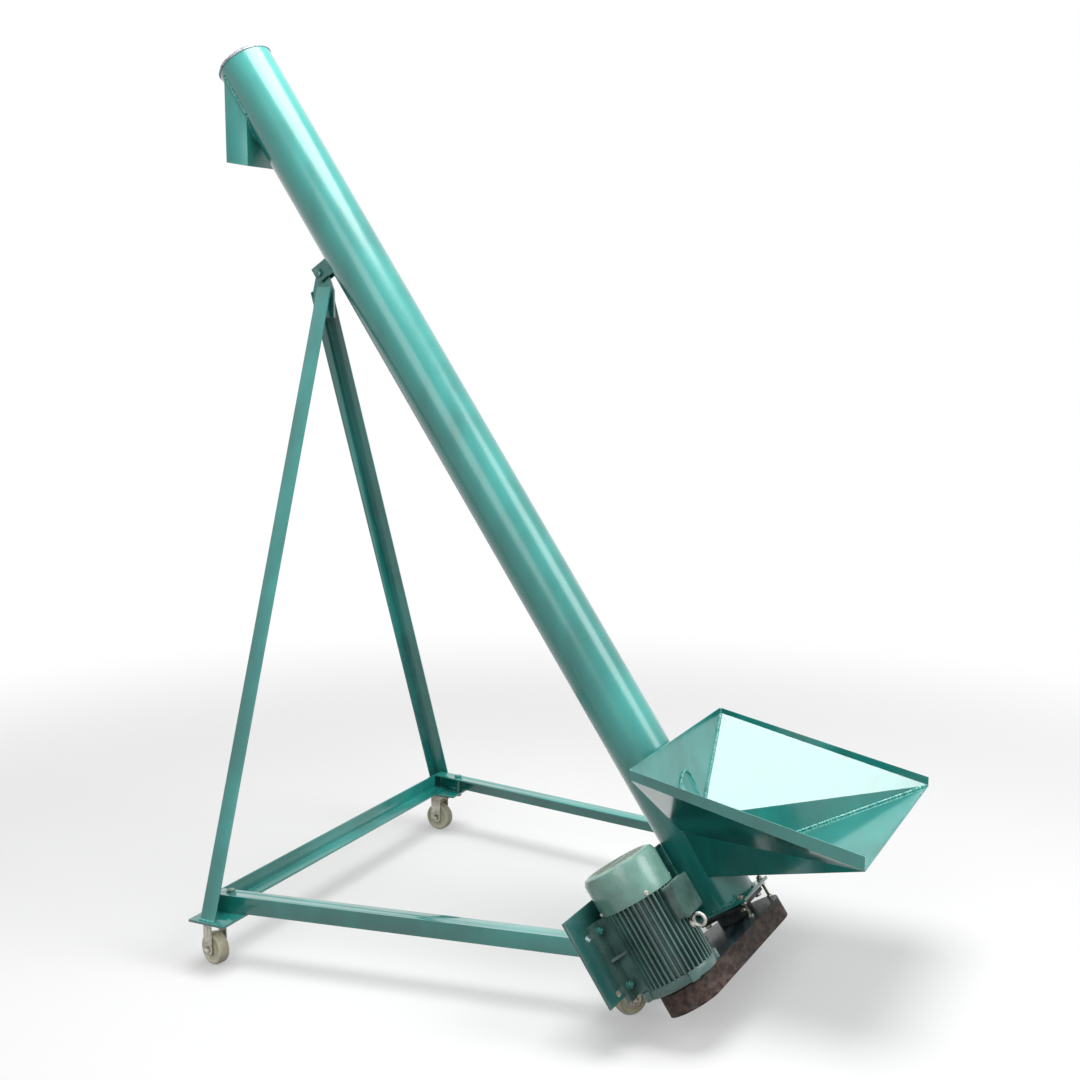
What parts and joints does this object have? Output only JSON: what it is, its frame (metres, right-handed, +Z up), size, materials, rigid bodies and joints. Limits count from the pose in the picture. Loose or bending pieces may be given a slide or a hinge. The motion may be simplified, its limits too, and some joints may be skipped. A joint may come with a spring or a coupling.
{
  "type": "mobile grain auger",
  "caption": "Inclined tube screw conveyor on a wheeled angle-iron frame, with a sheet hopper, belt drive, electric motor and a downward discharge chute.",
  "frame": {"origin": "middle of the whole machine's footprint, on the floor", "axes": "+X towards the hopper and lower end of the tube, +Y away from the motor side, +Z up"},
  "size_m": [1.7582, 1.16, 2.151],
  "materials": {
    "green_enamel": "gloss",
    "bare_steel": "dull",
    "zinc_plate": "dull zinc",
    "nylon": "satin",
    "motor_enamel": "satin",
    "cast_iron": "painted dark",
    "guard_enamel": "gloss, dusty",
    "belt_rubber": "matte",
    "fan_plastic": "matte"
  },
  "bodies": {
    "frame": {"bearing_housing": "cast_iron", "belt_1": "belt_rubber", "belt_2": "belt_rubber", "belt_guard": "guard_enamel", "caster_front_far_plate": "zinc_plate", "caster_front_near_plate": "zinc_plate", "caster_rear_far_plate": "zinc_plate", "caster_rear_near_plate": "zinc_plate", "corner_bolt_far": "green_enamel", "corner_bolt_near": "green_enamel", "corner_plate_front_far": "green_enamel", "corner_plate_front_near": "green_enamel", "corner_plate_rear_far": "green_enamel", "corner_plate_rear_near": "green_enamel", "cross_beam": "green_enamel", "discharge_chute": "green_enamel", "end_cap": "bare_steel", "eye_bolt": "bare_steel", "fan_cover": "motor_enamel", "front_shield": "motor_enamel", "guard_cover": "guard_enamel", "hopper_wall_far": "green_enamel", "hopper_wall_front": "green_enamel", "hopper_wall_near": "green_enamel", "hopper_wall_rear": "green_enamel", "leg_far": "green_enamel", "leg_head": "green_enamel", "leg_near": "green_enamel", "lower_flange": "green_enamel", "lug_bolt": "green_enamel", "motor_frame": "motor_enamel", "motor_plate": "green_enamel", "rear_beam": "green_enamel", "rear_shield": "motor_enamel", "side_beam_far": "green_enamel", "side_beam_near": "green_enamel", "terminal_box": "motor_enamel", "top_bearing": "bare_steel", "tube": "green_enamel", "tube_lug": "green_enamel"},
    "rear_near_fork": {"caster_rear_near_fork": "zinc_plate", "caster_rear_near_axle": "zinc_plate"},
    "rear_near_wheel": {"caster_rear_near_wheel": "nylon"},
    "rear_far_fork": {"caster_rear_far_fork": "zinc_plate", "caster_rear_far_axle": "zinc_plate"},
    "rear_far_wheel": {"caster_rear_far_wheel": "nylon"},
    "front_near_fork": {"caster_front_near_fork": "zinc_plate", "caster_front_near_axle": "zinc_plate"},
    "front_near_wheel": {"caster_front_near_wheel": "nylon"},
    "front_far_fork": {"caster_front_far_fork": "zinc_plate", "caster_front_far_axle": "zinc_plate"},
    "front_far_wheel": {"caster_front_far_wheel": "nylon"},
    "screw": {"auger_shaft": "bare_steel", "auger_flight": "bare_steel", "auger_pulley": "cast_iron"},
    "rotor": {"rotor_shaft": "bare_steel", "motor_pulley": "cast_iron", "cooling_fan": "fan_plastic"}
  },
  "joints": [
    {"name": "rear_near_swivel", "type": "hinge", "parent": "frame", "child": "rear_near_fork", "pos_m": [-0.54939, -0.528, 0.104], "axis": [0, 0, 1], "continuous": true},
    {"name": "rear_near_roll", "type": "hinge", "parent": "rear_near_fork", "child": "rear_near_wheel", "pos_m": [-0.57047, -0.52168, 0.0375], "axis": [0.2874, 0.9578, 0], "continuous": true},
    {"name": "rear_far_swivel", "type": "hinge", "parent": "frame", "child": "rear_far_fork", "pos_m": [-0.54739, 0.519, 0.104], "axis": [0, 0, 1], "continuous": true},
    {"name": "rear_far_roll", "type": "hinge", "parent": "rear_far_fork", "child": "rear_far_wheel", "pos_m": [-0.56933, 0.52069, 0.0375], "axis": [0.0767, 0.9971, 0], "continuous": true},
    {"name": "front_near_swivel", "type": "hinge", "parent": "frame", "child": "front_near_fork", "pos_m": [0.38061, -0.355, 0.104], "axis": [0, 0, 1], "continuous": true},
    {"name": "front_near_roll", "type": "hinge", "parent": "front_near_fork", "child": "front_near_wheel", "pos_m": [0.39387, -0.33745, 0.0375], "axis": [0.7976, -0.6032, 0], "continuous": true},
    {"name": "front_far_swivel", "type": "hinge", "parent": "frame", "child": "front_far_fork", "pos_m": [0.37061, 0.4, 0.104], "axis": [0, 0, 1], "continuous": true},
    {"name": "front_far_roll", "type": "hinge", "parent": "front_far_fork", "child": "front_far_wheel", "pos_m": [0.34894, 0.40382, 0.0375], "axis": [0.1736, 0.9848, 0], "continuous": true},
    {"name": "screw_spin", "type": "hinge", "parent": "frame", "child": "screw", "pos_m": [0.48761, 0.02, 0.144], "axis": [-0.5541, 0, 0.8324], "continuous": true},
    {"name": "motor_spin", "type": "hinge", "parent": "frame", "child": "rotor", "pos_m": [0.51258, -0.39, 0.16062], "axis": [-0.5541, 0, 0.8324], "continuous": true}
  ],
  "couplings": [
    {"joint": "motor_spin", "follows": "screw_spin", "ratio": 2.5781}
  ]
}
